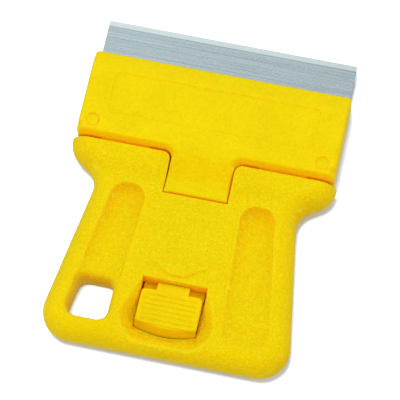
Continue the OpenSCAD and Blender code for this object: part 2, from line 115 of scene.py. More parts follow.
# depth of a pocket at a distance inside its outline: an arc over the lip, then a Bezier curve down to the floor
def pocketDrop(distance, depth, roll, lip, steep):
    wallHandle, floorHandle = 0.55, 0.45
    tilt = math.radians(steep)
    a = np.linspace(0, tilt, 9)
    start = np.array([0, lip * (1 - math.cos(tilt))])
    reach = wallHandle * (depth - start[1]) / math.sin(tilt)
    knots = [start, start + reach * np.array([math.cos(tilt), math.sin(tilt)]),
             np.array([floorHandle * roll, depth]), np.array([roll, depth])]
    s = np.linspace(0, 1, 25)[1:, None]
    curve = sum(c * s ** i * (1 - s) ** (3 - i) * k for i, (c, k) in enumerate(zip((1, 3, 3, 1), knots)))
    across = np.concatenate([lip * (np.sin(a) - math.sin(tilt)), curve[:, 0]])
    down = np.concatenate([lip * (1 - np.cos(a)), curve[:, 1]])
    return np.interp(distance, across, down)


# points between breakpoints, bunched towards the ends of each span by a share of a cosine
def spread(breaks, counts, bunch):
    spans = []
    for low, high, n in zip(breaks[:-1], breaks[1:], counts):
        u = np.arange(n) / n
        u = (1 - bunch) * u + bunch * (1 - np.cos(np.pi * u)) / 2
        spans.append(low + (high - low) * u)
    return np.concatenate(spans + [np.asarray(breaks[-1]) + np.zeros_like(spans[-1][..., :1])], -1)


# mirrors half a row of columns, from the middle to the right edge, into a whole row
def bothHalves(half):
    return np.concatenate([-half[:, :0:-1], half], 1)


# mesh object in millimetres from whole arrays, with doubles merged
def newPiece(name, verts, faces):
    mesh = bpy.data.meshes.new(name)
    mesh.from_pydata(np.asarray(verts).tolist(), [], faces if isinstance(faces, list) else faces.tolist())
    shell = bmesh.new()
    shell.from_mesh(mesh)
    bmesh.ops.remove_doubles(shell, verts=shell.verts, dist=1e-5)
    bmesh.ops.recalc_face_normals(shell, faces=shell.faces)
    shell.to_mesh(mesh)
    shell.free()
    piece = bpy.data.objects.new(name, mesh)
    bpy.context.scene.collection.objects.link(piece)
    return piece


# closed solid between an upper and a lower height over one grid of rows and columns
def sheetSolid(name, x, y, top, bottom):
    rows, cols = x.shape
    upper = np.stack([x, y, top], 2).reshape(-1, 3)
    lower = np.stack([x, y, bottom], 2).reshape(-1, 3)
    at = np.arange(rows * cols).reshape(rows, cols)
    under = at + rows * cols
    quads = lambda a, b, c, d: np.stack([a, b, c, d], -1).reshape(-1, 4)
    faces = np.concatenate([
        quads(at[:-1, :-1], at[1:, :-1], at[1:, 1:], at[:-1, 1:]),
        quads(under[:-1, :-1], under[:-1, 1:], under[1:, 1:], under[1:, :-1]),
        quads(at[0, :-1], at[0, 1:], under[0, 1:], under[0, :-1]),
        quads(at[-1, 1:], at[-1, :-1], under[-1, :-1], under[-1, 1:]),
        quads(at[1:, 0], at[:-1, 0], under[:-1, 0], under[1:, 0]),
        quads(at[:-1, -1], at[1:, -1], under[1:, -1], under[:-1, -1])])
    return newPiece(name, np.concatenate([upper, lower]), faces)


# solid through a stack of equal rings, closed by a flat face at each end
def ringSolid(name, rings):
    rings = np.asarray(rings, float)
    count, n = rings.shape[:2]
    at = np.arange(count * n).reshape(count, n)
    ahead = np.roll(at, -1, 1)
    walls = np.stack([at[:-1], ahead[:-1], ahead[1:], at[1:]], -1).reshape(-1, 4).tolist()
    return newPiece(name, rings.reshape(-1, 3), walls + [at[0, ::-1].tolist(), at[-1].tolist()])


# outline carried straight up from one height to another
def prism(name, loop, low, high):
    loop = np.asarray(loop, float)
    return ringSolid(name, [np.column_stack([loop, np.full(len(loop), z)]) for z in (low, high)])


# side profile of y and z carried straight across the part
def crossBar(name, width, profile, aside=0.0):
    profile = np.asarray(profile, float)
    ends = (aside - width / 2, aside + width / 2)
    return ringSolid(name, [np.column_stack([np.full(len(profile), x), profile]) for x in ends])


# joins a tool to a piece or cuts it away, and keeps the finished mesh
def combine(piece, tool, how):
    step = piece.modifiers.new("step", "BOOLEAN")
    step.object = tool
    step.operation = how
    step.solver = "MANIFOLD"
    made = bpy.data.meshes.new_from_object(piece.evaluated_get(bpy.context.evaluated_depsgraph_get()))
    piece.modifiers.clear()
    spent = [piece.data, tool.data]
    piece.data = made
    bpy.data.objects.remove(tool)
    for mesh in spent:
        bpy.data.meshes.remove(mesh)


# takes a piece from millimetres at the seam to metres in the shared frame, with soft shading up to sharp edges
def settle(piece, body, node, finish, sharp=38):
    piece.data.transform(Matrix.Scale(mm, 4) @ Matrix.Translation((0, seamY, 0)))
    piece.data.materials.clear()
    piece.data.materials.append(finish)
    piece.data.shade_smooth()
    piece.data.set_sharp_from_angle(angle=math.radians(sharp))
    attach(piece, body)
    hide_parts(node)
    print(piece.name, "vertices", len(piece.data.vertices), "faces", len(piece.data.polygons))


# new material with its node tree and shader
def shaderOf(name):
    finish = bpy.data.materials.new(name)
    finish.use_nodes = True
    return finish, finish.node_tree, finish.node_tree.nodes["Principled BSDF"]


# adds a node and sets its inputs and options
def addNode(tree, kind, **values):
    node = tree.nodes.new(kind)
    for key, value in values.items():
        if key in node.inputs:
            node.inputs[key].default_value = value
        else:
            setattr(node, key, value)
    return node


# noise at a place of the object
def noise(tree, place, scale, detail, rough):
    node = addNode(tree, "ShaderNodeTexNoise", Scale=scale, Detail=detail, Roughness=rough)
    tree.links.new(place, node.inputs["Vector"])
    return node.outputs["Fac"]


# value moved from one span to another and held at its ends
def mapRange(tree, value, source, target=(0.0, 1.0)):
    node = addNode(tree, "ShaderNodeMapRange", **{"From Min": source[0], "From Max": source[1],
                                                  "To Min": target[0], "To Max": target[1]})
    tree.links.new(value, node.inputs["Value"])
    return node.outputs["Result"]


# sum, product or the like of values, each a socket or a number
def reckon(tree, operation, *values):
    node = addNode(tree, "ShaderNodeMath", operation=operation)
    for socket, value in zip(node.inputs, values):
        if isinstance(value, float):
            socket.default_value = value
        else:
            tree.links.new(value, socket)
    return node.outputs["Value"]


# two values mixed by a fixed share
def blend(tree, share, first, second):
    node = addNode(tree, "ShaderNodeMix", data_type="FLOAT")
    node.inputs["Factor"].default_value = share
    tree.links.new(first, node.inputs["A"])
    tree.links.new(second, node.inputs["B"])
    return node.outputs["Result"]


# colour between two stops of a ramp
def ramp(tree, value, span, colours):
    node = addNode(tree, "ShaderNodeValToRGB")
    for stop, place, colour in zip(node.color_ramp.elements, span, colours):
        stop.position = place
        stop.color = (*colour, 1)
    tree.links.new(value, node.inputs["Fac"])
    return node.outputs["Color"]


# colour moved by a share towards another one
def tint(tree, share, base, colour):
    node = addNode(tree, "ShaderNodeMix", data_type="RGBA")
    node.inputs["B"].default_value = (*colour, 1)
    tree.links.new(share, node.inputs["Factor"])
    tree.links.new(base, node.inputs["A"])
    return node.outputs["Result"]


# normal tilted by a height, on top of an earlier one
def bump(tree, height, strength, depth, below=None):
    node = addNode(tree, "ShaderNodeBump", Strength=strength, Distance=depth)
    tree.links.new(height, node.inputs["Height"])
    if below is not None:
        tree.links.new(below, node.inputs["Normal"])
    return node.outputs["Normal"]


# moulded plastic: two sizes of spark-eroded grain as bump, cloudy colour, paler edges that are partly wear and partly
# painted highlight, painted shade in hollows and on rear-facing walls, and painted glints
def plasticFinish(name, look):
    finish, tree, shader = shaderOf(name)
    link = tree.links.new
    place = addNode(tree, "ShaderNodeTexCoord").outputs["Object"]
    shape = addNode(tree, "ShaderNodeNewGeometry")
    bend = shape.outputs["Pointiness"]
    clouds = noise(tree, place, look["cloudScale"], 4.0, 0.6)
    grain = noise(tree, place, look["grainScale"], 2.0, 0.55)
    pebble = noise(tree, place, look["pebbleScale"], 3.0, 0.5)

    colour = ramp(tree, blend(tree, look["mottle"], clouds, grain), look["hueSpan"], (look["deep"], look["bright"]))
    # paler convex edges: partly wear, partly a painted highlight along the edges that catch the light
    colour = tint(tree, mapRange(tree, bend, look["wearAndGlintSpan"], (0.0, look["wearAndGlintShare"])), colour, look["wearAndGlint"])

    # painted shade: sheltered places found by occlusion, and by their steepness the walls that face the end of the
    # handle, are tinted towards an orange shade colour
    shadeOcclusion = addNode(tree, "ShaderNodeAmbientOcclusion", samples=12, Distance=look["shadeOcclusion"])
    hollowShade = mapRange(tree, shadeOcclusion.outputs["AO"], look["hollowShadeSpan"], (0.0, look["hollowShadeShare"]))
    facing = addNode(tree, "ShaderNodeVectorMath", operation="DOT_PRODUCT")
    facing.inputs[1].default_value = (0, -1, 0)
    link(shape.outputs["Normal"], facing.inputs[0])
    rear = mapRange(tree, facing.outputs["Value"], look["rearShadeSpan"], (0.0, look["rearShadeShare"]))
    paintedShade = reckon(tree, "MAXIMUM", hollowShade, rear)
    colour = tint(tree, paintedShade, colour, look["hollowShade"])

    # painted glints: pale dots put into the base colour at the points of a cell pattern, most of them on convex edges,
    # standing in for glints of light
    glintCells = addNode(tree, "ShaderNodeTexVoronoi", Scale=look["paintedGlintScale"])
    link(place, glintCells.inputs["Vector"])
    chosen = addNode(tree, "ShaderNodeSeparateColor")
    link(glintCells.outputs["Color"], chosen.inputs["Color"])
    near = mapRange(tree, glintCells.outputs["Distance"], look["paintedGlintNear"])
    some = mapRange(tree, chosen.outputs["Red"], look["paintedGlintPick"], (0.0, look["paintedGlintFlat"]))
    bent = mapRange(tree, bend, look["paintedGlintBend"], (0.0, look["paintedGlintEdge"]))
    share = reckon(tree, "MULTIPLY", near, reckon(tree, "MAXIMUM", some, bent))
    link(tint(tree, share, colour, look["paintedGlint"]), shader.inputs["Base Color"])

    link(mapRange(tree, grain, look["glossSpan"], look["rough"]), shader.inputs["Roughness"])
    coarse = bump(tree, pebble, look["pebbleStrength"], look["pebbleDepth"])
    link(bump(tree, grain, look["grainStrength"], look["grainDepth"], coarse), shader.inputs["Normal"])
    sheen = mapRange(tree, paintedShade, look["sheenSpan"], (look["specular"], 0.0))  # less specular where shade is painted, so these places mirror less of the studio
    link(sheen, shader.inputs["Specular IOR Level"])
    shader.inputs["Specular Tint"].default_value = (*look["specularTint"], 1)
    shader.inputs["Subsurface Weight"].default_value = look["translucent"]
    shader.inputs["Subsurface Radius"].default_value = look["bleed"]
    shader.inputs["Subsurface Scale"].default_value = look["bleedScale"]
    return finish


yellow = {
    "bright": (0.92, 0.735, 0.002), "deep": (0.80, 0.61, 0.0015), "hueSpan": (0.3, 0.7),
    "cloudScale": 160.0, "mottle": 0.7,
    # paler convex edges, partly wear and partly painted highlight
    "wearAndGlint": (1.0, 0.88, 0.08), "wearAndGlintShare": 0.3, "wearAndGlintSpan": (0.515, 0.6),
    # painted shade: orange colour for sheltered hollows and, by their steepness, for walls facing the end of the
    # handle
    "hollowShade": (0.95, 0.45, 0.003), "hollowShadeShare": 1.0, "hollowShadeSpan": (0.98, 0.5), "shadeOcclusion": 0.005,
    "rearShadeShare": 0.0, "rearShadeSpan": (0.15, 0.85),
    # painted glints: pale dots on flats and, more of them, on convex edges
    "paintedGlint": (1.0, 0.88, 0.06), "paintedGlintScale": 3000.0, "paintedGlintFlat": 0.7, "paintedGlintEdge": 1.0,
    "paintedGlintNear": (0.3, 0.16), "paintedGlintPick": (0.6, 0.66), "paintedGlintBend": (0.51, 0.55),
    "grainScale": 2600.0, "grainStrength": 0.9, "grainDepth": 0.0002,
    "pebbleScale": 1200.0, "pebbleStrength": 0.6, "pebbleDepth": 0.0002,
    "rough": (0.34, 0.52), "glossSpan": (0.3, 0.7),
    "specular": 0.22, "specularTint": (1.0, 0.86, 0.06), "sheenSpan": (0.0, 0.6),
    "translucent": 0.5, "bleed": (1.0, 0.3, 0.06), "bleedScale": 0.002,
}
# cover and latch: less grain, painted shade also on their rear-facing walls, fewer painted glints and none on the
# latch
satin = {**yellow, "grainStrength": 0.5, "pebbleStrength": 0.3, "mottle": 0.5, "paintedGlintFlat": 0.1, "rearShadeShare": 0.6}
smooth = {
    **yellow, "bright": (0.985, 0.735, 0.002), "deep": (0.87, 0.61, 0.0015), "mottle": 0.4,
    "grainStrength": 0.3, "pebbleStrength": 0.2, "wearAndGlintShare": 0.0, "hollowShadeShare": 0.7, "rearShadeShare": 1.0,
    "paintedGlintFlat": 0.0, "paintedGlintEdge": 0.0,
}
handleFinish = plasticFinish("grained yellow plastic", yellow)
coverFinish = plasticFinish("satin yellow plastic", satin)
latchFinish = plasticFinish("latch yellow plastic", smooth)
print("plastic finishes made")


# ground steel: long streaks across the blade from stretched noise, fine speckle, and a finer band along the edge
def steelFinish(name, look):
    finish, tree, shader = shaderOf(name)
    link = tree.links.new
    place = addNode(tree, "ShaderNodeTexCoord").outputs["Object"]
    stretch = addNode(tree, "ShaderNodeMapping", Scale=look["stretch"])
    link(place, stretch.inputs["Vector"])
    streaks = noise(tree, stretch.outputs["Vector"], 1.0, 6.0, 0.7)
    speckle = noise(tree, place, look["speckle"], 2.0, 0.6)
    marks = blend(tree, look["speckleShare"], streaks, speckle)
    colour = ramp(tree, marks, look["toneSpan"], (look["dark"], look["light"]))

    # the ground edge, and the dark line behind it, by their place along y
    along = addNode(tree, "ShaderNodeSeparateXYZ")
    link(place, along.inputs["Vector"])
    ground = mapRange(tree, along.outputs["Y"], look["bevelSpan"], (0.0, look["bevelShare"]))
    colour = tint(tree, ground, colour, look["bevel"])
    lineAt = look["bevelSpan"][0] - look["lineWidth"]
    apart = reckon(tree, "ABSOLUTE", reckon(tree, "SUBTRACT", along.outputs["Y"], lineAt))
    line = mapRange(tree, apart, (look["lineWidth"], look["lineWidth"] / 2), (0.0, look["lineShare"]))
    link(tint(tree, line, colour, look["line"]), shader.inputs["Base Color"])

    link(mapRange(tree, marks, look["glossSpan"], look["rough"]), shader.inputs["Roughness"])
    link(bump(tree, marks, look["bumpStrength"], look["bumpDepth"]), shader.inputs["Normal"])
    shader.inputs["Metallic"].default_value = look["metal"]
    return finish


steel = {
    "dark": (0.078, 0.085, 0.115), "light": (0.36, 0.36, 0.455), "toneSpan": (0.32, 0.68),
    "stretch": (40.0, 4600.0, 4600.0), "speckle": 6000.0, "speckleShare": 0.45,
    "bevel": (0.38, 0.37, 0.44), "bevelSpan": (0.02553, 0.02557), "bevelShare": 0.85,
    "line": (0.10, 0.125, 0.185), "lineWidth": 0.00009, "lineShare": 0.5,
    "rough": (0.32, 0.5), "glossSpan": (0.3, 0.7), "bumpStrength": 0.35, "bumpDepth": 0.00001, "metal": 0.85,
}
bladeFinish = steelFinish("ground blade steel", steel)
spineFinish = steelFinish("rolled spine steel", {**steel, "bevelSpan": (1.0, 2.0), "rough": (0.25, 0.5)})
for nodeName, metalFinish in (("blade", bladeFinish), ("blade_spine", spineFinish)):
    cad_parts[nodeName].data.materials.clear()
    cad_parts[nodeName].data.materials.append(metalFinish)
print("steel finishes made")


# head cover: top face with rolled edges, falling nose and tongue, a plain sunk field and two round marks
cover = {
    "halfWidth": 20.2, "length": 14.6, "top": 7.2, "under": 2.61, "corner": 0.75, "edge": 0.65,
    "seamGap": 0.25, "openGap": 0.35, "padSpan": (8.6, 16.1), "padAt": 0.05, "padRound": 0.04,
    "bandWide": 0.95, "bandSlope": 1.19, "bandBend": 0.2, "bandRear": (-1.2, 1.4), "bandFront": (2.4, 0.9),
    "tongueHalf": 4.85, "tongue": 6.1, "tongueTop": 5.8, "tongueLow": 3.1, "fillet": 1.5, "tongueCorner": 0.12,
    "tongueEdge": (0.14, 0.55), "tongueLeft": (4.74, 4.97), "tongueRight": (4.94, 4.97), "tongueEnd": 6.23,
    "fallStart": 1.2, "fallEnd": 5.2,
    "noseFrom": 11.6, "noseSlope": 1 / 3, "noseBend": 0.6, "noseRound": 0.8,
    "fieldHalf": 16.2, "fieldFrom": 4.3, "fieldTo": 11.2, "fieldRadius": 0.9,
    "fieldDepth": 0.12, "fieldRoll": 0.3, "fieldLip": 0.16, "fieldSteep": 30,
    "markX": 18.0, "markY": 2.6, "markRadius": 1.13,
    "markDepth": 0.2, "markRoll": 0.22, "markLip": 0.1, "markSteep": 45,
    "spineHalf": 19.1, "spineSpan": (-1, 6.99), "spineRoof": 3.04,
    "rootAt": 4.9, "rootHigh": 3.55, "socketRadius": 0.55, "socketWide": 12, "armRoof": 4.16, "roomEnd": -8,
    "lugAt": 12.35, "lugHalf": 3.75, "lugSpan": (-2.15, 1.65), "lugHeight": (3.1, 4.5),
}


# outline of head and tongue, grown by gap; front gives the place of its front edge
def coverLoop(gap, front, fitted=True):
    c = cover
    w, t, rear, end = c["halfWidth"] + gap, c["tongueHalf"] + gap, c["seamGap"] - gap, -c["tongue"] - gap
    r, pads, left, right = [c["corner"], c["fillet"] - gap, c["tongueCorner"]], [], (t, t), (t, t)
    if fitted and not gap:  # the tongue nearly fills its slot, and two pads on the rear edge close the seam
        left, right, end, rear = c["tongueLeft"], c["tongueRight"], -c["tongueEnd"], c["openGap"]
        r[1:1] = [c["padRound"]] * 4
        inner, outer, pad = *c["padSpan"], c["padAt"]
        pads = [(outer, rear), (outer, pad), (inner, pad), (inner, rear)]
    sides = [[(side * px, py) for px, py in [(w, rear)] + pads + [(at[0], rear), (at[1], end)]]
             for side, at in ((-1, left), (1, right))]
    return roundLoop([(w, front), (-w, front)] + sides[0] + sides[1][::-1], [c["corner"]] * 2 + r + r[::-1])


# top of the cover: fall to the tongue less the nose, the sloping rear band or rolled edge, the field and the marks
def coverTop(x, y):
    c = cover
    fall = ease((y + c["fallEnd"]) / (c["fallStart"] + c["fallEnd"]))
    z = c["tongueTop"] + (c["top"] - c["tongueTop"]) * fall
    z = z - softSlope(y - c["noseFrom"], c["noseSlope"], c["noseBend"])
    (rearAt, rearRun), (frontAt, frontRun) = c["bandRear"], c["bandFront"]
    onHead = ease((y - rearAt) / rearRun)
    crisp, soft = c["tongueEdge"]
    r = crisp + (soft - crisp) * ease(x + c["tongueHalf"])
    r = r + (c["edge"] - r) * onHead
    rolled = edgeDrop(-loopDistance(x, y, coverLoop(0, outside["front"])), r)
    s = c["bandWide"] + c["padAt"] - c["seamGap"] + loopDistance(x, y, coverLoop(0, outside["front"], False))
    share = onHead * ease((frontAt - y) / frontRun)
    z = z - share * softSlope(s, c["bandSlope"], c["bandBend"]) - (1 - share) * rolled
    z = z - edgeDrop(c["length"] - y, c["noseRound"])
    h = c["fieldHalf"]
    field = roundLoop([(h, c["fieldTo"]), (-h, c["fieldTo"]), (-h, c["fieldFrom"]), (h, c["fieldFrom"])],
                      [c["fieldRadius"]] * 4)
    z = z - pocketDrop(-loopDistance(x, y, field), c["fieldDepth"], c["fieldRoll"], c["fieldLip"], c["fieldSteep"])
    ring = c["markRadius"] - np.hypot(np.abs(x) - c["markX"], y - c["markY"])
    return z - pocketDrop(ring, c["markDepth"], c["markRoll"], c["markLip"], c["markSteep"])


# cover: rows and columns bunched where the top bends, then trimmed to the outline
def buildCover():
    c = cover
    turn = np.linspace(0, np.pi / 2, 9)
    half = spread([0.0, c["tongueHalf"], c["fieldHalf"], c["halfWidth"] - c["edge"]], [22, 36, 40], 0.7)
    half = np.concatenate([half[:-1], c["halfWidth"] - c["edge"] * (1 - np.sin(turn))])
    bandTop = c["seamGap"] + c["edge"]
    y = np.concatenate([
        c["length"] - c["noseRound"] * (1 - np.cos(turn)),
        spread([c["length"] - c["noseRound"], c["fieldTo"], c["fieldFrom"], bandTop], [18, 36, 40], 0.6)[1:-1],
        np.linspace(bandTop, c["padAt"] + 0.02, 22),
        spread([c["padAt"], -1.25, -c["tongueEnd"] + 0.45, -c["tongueEnd"]], [9, 20, 12], 0.4)[1:]])
    x = bothHalves(half[None, :])
    x, y = np.broadcast_arrays(x, y[:, None])
    piece = sheetSolid("headCover", x, y, coverTop(x, y), np.full(x.shape, c["under"]))
    combine(piece, prism("outline", coverLoop(0, c["length"]), outside["low"], outside["high"]), "INTERSECT")
    return piece


# lug that tucks under one shoulder, grown on all sides
def lugBlock(name, side, grow):
    middle, half = side * cover["lugAt"], cover["lugHalf"] + grow
    (rear, front), (low, high) = cover["lugSpan"], cover["lugHeight"]
    return prism(name, boxLoop(middle - half, middle + half, rear - grow, front + grow), low - grow, high + grow)


coverPiece = buildCover()
pastSide, rootY = cover["halfWidth"] + 1, -cover["rootAt"]
for tool in (
        prism("spineRoom", boxLoop(-cover["spineHalf"], cover["spineHalf"], *cover["spineSpan"]), 0, cover["spineRoof"]),
        prism("underTongue", boxLoop(-pastSide, pastSide, cover["roomEnd"], cover["seamGap"]), 0, cover["tongueLow"]),
        prism("armRoom", boxLoop(-pastSide, pastSide, cover["roomEnd"], rootY), 0, cover["armRoof"]),
        crossBar("socket", cover["socketWide"], roundProfile(rootY, cover["rootHigh"], cover["socketRadius"]))):
    combine(coverPiece, tool, "DIFFERENCE")
for side in (-1, 1):
    combine(coverPiece, lugBlock("lug", side, 0), "UNION")
settle(coverPiece, "cover", "head_cover", coverFinish)


# handle: one sheet from the jaw's nose to the end, with a rolled rim, falling shoulders and sunk features
handle = {
    "length": 31.6, "panel": 5.8, "shoulder": 6.5, "fall": 5.2, "flat": 1.8, "rim": 2.9,
    "shoulderHalf": 20.75, "shoulderAt": 2.22, "shoulderRound": 4.0, "frontRound": 0.5,
    "waistHalf": 15.6, "waistAt": 5.5, "waistRound": 3.4, "footHalf": 19.85, "footRound": 4.6,
    "jawHalf": 20.2, "jawLength": 14.6, "jaw": 2.3, "jawSlope": 3.0, "jawRise": 0.9, "jawCorner": 0.75,
    "seamEdge": 0.12, "cutEdge": 0.14, "slotGap": 0.22, "lugGap": 0.15,
    "seatSpan": (1.79, 6.99), "seatHeight": (1.79, 4),
    "scoopFrom": 5.9, "scoopTo": 28.2, "scoopIn": (7.35, 8.65), "scoopWide": (5.1, 7.3),
    "scoopDepth": (1.5, 0.5), "scoopRoll": 2.2, "scoopRound": 2.35, "scoopLip": 0.35, "scoopSteep": 50,
    "windowHalf": 5.0, "windowAt": 20.1, "windowSlope": 0.4, "windowEnd": 29.05, "windowBow": 0.8, "windowLow": 3.0,
    "floor": 1.7, "bridge": 4.16,
    "ledgeFrom": 22.25, "ledgeHeight": (3.6, 4.0), "ledgeBite": (1.01, 0.05), "ledgeRoom": (2, 6),
    "ledgeHalf": 4.84, "ledgeAside": -0.1, "ledgeEnd": 28.57, "ledgeBow": 0.84,
    "dishHalf": 7.8, "dishCorner": 27.1, "dishEnd": 30.5, "dishEndHalf": 4.8, "dishRound": (2.2, 4, 3),
    "dishWall": (-0.08, 0.08, 1.5, 2.4), "dishFall": (0.0, 0.1, 1.55, 1.75),
    "holeIn": 9.05, "holeWide": (5.6, 6.7), "holeAt": 21.4, "holeLength": 6.7, "holeRound": 1.6, "holeRoll": 0.9,
    "arrowHalf": 4.6, "arrowAt": 16.0, "arrowSide": 1.3, "arrowPoint": 2.1, "arrowTip": 1.15, "arrowRound": 0.15,
    "arrowHeight": 0.32, "arrowSoft": 0.35, "arrowRise": 2.0,
    "rowBreaks": (5.6, 6.32, 12, 20.1, 24), "rowCounts": (26, 9, 26, 56, 20, 22),
}


# outline of the grip with straight sides in front of the seam
def gripLoop():
    g = handle
    left = [(-g["shoulderHalf"], outside["front"]), (-g["shoulderHalf"], -g["shoulderAt"]),
            (-g["waistHalf"], -g["waistAt"]), (-g["footHalf"], -g["length"])]
    return wholeLoop(left, [g["frontRound"], g["shoulderRound"], g["waistRound"], g["footRound"]], 16)


# half width of handle and jaw at y
def halfWidth(y):
    g = handle
    loop = gripLoop()
    right = loop[(loop[:, 0] > 0) & (loop[:, 1] < 5)]
    right = right[np.argsort(right[:, 1], kind="stable")]
    grip = np.interp(y, right[:, 1], right[:, 0])
    past = np.clip(y - g["jawLength"] + g["jawCorner"], 0, g["jawCorner"])
    jaw = g["jawHalf"] - g["jawCorner"] + np.sqrt(g["jawCorner"] ** 2 - past ** 2)
    return np.where(y > 0, jaw, grip)


# value at y on a straight line between a scoop's front and rear ends
def alongScoop(y, ends):
    return np.interp(-y, [handle["scoopFrom"], handle["scoopTo"]], ends)


# outline of the window from its front edge to its bowed end
def windowLoop(front):
    return bowedLoop(handle["windowHalf"], front, handle["windowEnd"], handle["windowBow"])


# inner edge of the window's ledge: it follows the foot of the tab
def ledgeLoop():
    g = handle
    return bowedLoop(g["ledgeHalf"], -g["ledgeFrom"] + 1, g["ledgeEnd"], g["ledgeBow"]) + [g["ledgeAside"], 0]


# outline of the hang hole, four-sided and wider at its rear
def holeLoop():
    g = handle
    front, rear = -g["holeAt"], -g["holeAt"] - g["holeLength"]
    near, (wide, wider) = -g["holeIn"], g["holeWide"]
    return roundLoop([(near, front), (near - wide, front), (near - wider, rear), (near, rear)], [g["holeRound"]] * 4)


# outline of the arrow pad, which points at the window
def arrowLoop():
    g = handle
    side, tip = -g["arrowAt"] - g["arrowSide"], -g["arrowAt"] - g["arrowSide"] - g["arrowPoint"]
    left = [(-g["arrowHalf"], -g["arrowAt"]), (-g["arrowHalf"], side), (-g["arrowTip"], tip)]
    return wholeLoop(left, [g["arrowRound"]] * 3, 4)


# top and bottom of the handle: elliptic rim, less the scoops, dish and rolled edges, plus the wedge of the arrow pad
def handleHeights(x, y):
    g = handle
    base = g["panel"] + (g["shoulder"] - g["panel"]) * ease((y + g["fall"]) / (g["fall"] - g["flat"]))
    inside = np.where(y > 0, halfWidth(y) - np.abs(x), -loopDistance(x, y, gripLoop()))
    bulge = np.sqrt(1 - (1 - np.clip(inside / g["rim"], 0, 1)) ** 2)
    top, bottom = base * (1 + bulge) / 2, base * (1 - bulge) / 2

    near, wide = g["scoopIn"], g["scoopWide"]
    front, rear = -g["scoopFrom"], -g["scoopTo"]
    scoop = roundLoop([(near[0] + wide[0], front), (near[0], front), (near[1], rear), (near[1] + wide[1], rear)],
                      [g["scoopRound"]] * 4)
    depth = alongScoop(y, g["scoopDepth"])
    within = -loopDistance(np.abs(x), y, scoop)
    top = top - depth * pocketDrop(within, 1.0, g["scoopRoll"], g["scoopLip"], g["scoopSteep"])

    left = [(-g["windowHalf"], -g["windowAt"]), (-g["dishHalf"], -g["dishCorner"]), (-g["dishEndHalf"], -g["dishEnd"])]
    dish = wholeLoop(left, g["dishRound"])
    top = top - np.interp(-loopDistance(x, y, dish), g["dishWall"], g["dishFall"])

    wedge = np.clip((-y - g["arrowAt"]) / g["arrowRise"], 0, 1)
    top = top + g["arrowHeight"] * wedge * ease(-loopDistance(x, y, arrowLoop()) / g["arrowSoft"])
    hole = loopDistance(x, y, holeLoop())
    top = top - edgeDrop(hole, g["holeRoll"])
    bottom = bottom + edgeDrop(hole, g["holeRoll"])
    for cut in (windowLoop(-g["windowAt"]), coverLoop(g["slotGap"], outside["front"])):
        top = top - edgeDrop(loopDistance(x, y, cut), g["cutEdge"])
    top = top - edgeDrop(-y, g["seamEdge"])
    rise = g["jawRise"] * np.clip((y - g["jawLength"] + g["jawSlope"]) / g["jawSlope"], 0, 1)
    return top, np.minimum(np.maximum(bottom, rise), top)


# handle: one grid whose columns follow the window, the scoops and the rim
def buildHandle():
    g = handle
    turn = np.linspace(0, np.pi / 2, 17)
    jawTurn = np.linspace(0, np.pi / 2, 5)
    seamTurn = np.linspace(0, np.pi / 2, 7)
    rimTurn = np.linspace(0, np.pi / 2, 27)[1:]
    rimFrom = -g["length"] + g["rim"]
    y = np.concatenate([
        g["jawLength"] - g["jawCorner"] * (1 - np.cos(jawTurn)),
        spread([g["jawLength"] - g["jawCorner"], g["jawLength"] - g["jawSlope"], 0.002], [4, 10], 0)[1:],
        -g["seamEdge"] * (1 - np.cos(seamTurn)),
        spread([-g["seamEdge"], *(-at for at in g["rowBreaks"]), rimFrom], g["rowCounts"], 0.4)[1:],
        -g["length"] + g["rim"] * (1 - np.sin(turn[1:]))])
    edge = halfWidth(y)[:, None]
    near = alongScoop(y, g["scoopIn"])[:, None]
    far = np.minimum(near + alongScoop(y, g["scoopWide"])[:, None], 0.9 * edge)
    middle = np.full_like(edge, g["windowHalf"] + 0.01)
    half = spread([0 * edge, middle, near, far], [26, 15, 26], 0.6)
    half = np.concatenate([half, far + (edge - far) * np.sin(rimTurn)], 1)
    x = bothHalves(half)
    y = np.broadcast_to(y[:, None], x.shape)
    top, bottom = handleHeights(x, y)
    return sheetSolid("handleGrip", x, y, top, bottom)


# window: its outline carried up from the channel, with the front edge moved forward at a steady slope
def windowCut():
    g = handle
    sill = -g["windowAt"] - g["windowSlope"]
    lift = g["windowSlope"] / (g["panel"] - g["bridge"])
    high = outside["high"]
    levels = [(sill, g["windowLow"]), (sill, g["bridge"]), (sill + lift * (high - g["bridge"]), high)]
    return ringSolid("window", [[(px, py, z) for px, py in windowLoop(front)] for front, z in levels])


# ledge in the window round the foot of the tab, set a little into the window's walls
def buildLedge():
    g = handle
    stretch, back = g["ledgeBite"]
    outer = windowLoop(-g["ledgeFrom"]) * [stretch, 1.0] - [0, back]
    ledge = prism("ledge", outer, *g["ledgeHeight"])
    combine(ledge, prism("tabRoom", ledgeLoop(), *g["ledgeRoom"]), "DIFFERENCE")
    return ledge


handlePiece = buildHandle()
aside, higher, spineHalf = outside["aside"], outside["higher"], cover["spineHalf"]
for tool in (
        prism("frontRoom", boxLoop(-aside, aside, 0, aside), handle["jaw"], higher),
        prism("tongueRoom", coverLoop(handle["slotGap"], outside["front"]), handle["jaw"], higher),
        prism("channel", windowLoop(-cover["rootAt"]), handle["floor"], handle["bridge"]),
        windowCut(),
        prism("hangHole", holeLoop(), outside["low"], higher),
        prism("spineSeat", boxLoop(-spineHalf, spineHalf, *handle["seatSpan"]), *handle["seatHeight"]),
        lugBlock("lugRoomLeft", -1, handle["lugGap"]),
        lugBlock("lugRoomRight", 1, handle["lugGap"])):
    combine(handlePiece, tool, "DIFFERENCE")
combine(handlePiece, buildLedge(), "UNION")
settle(handlePiece, "handle", "handle", handleFinish)


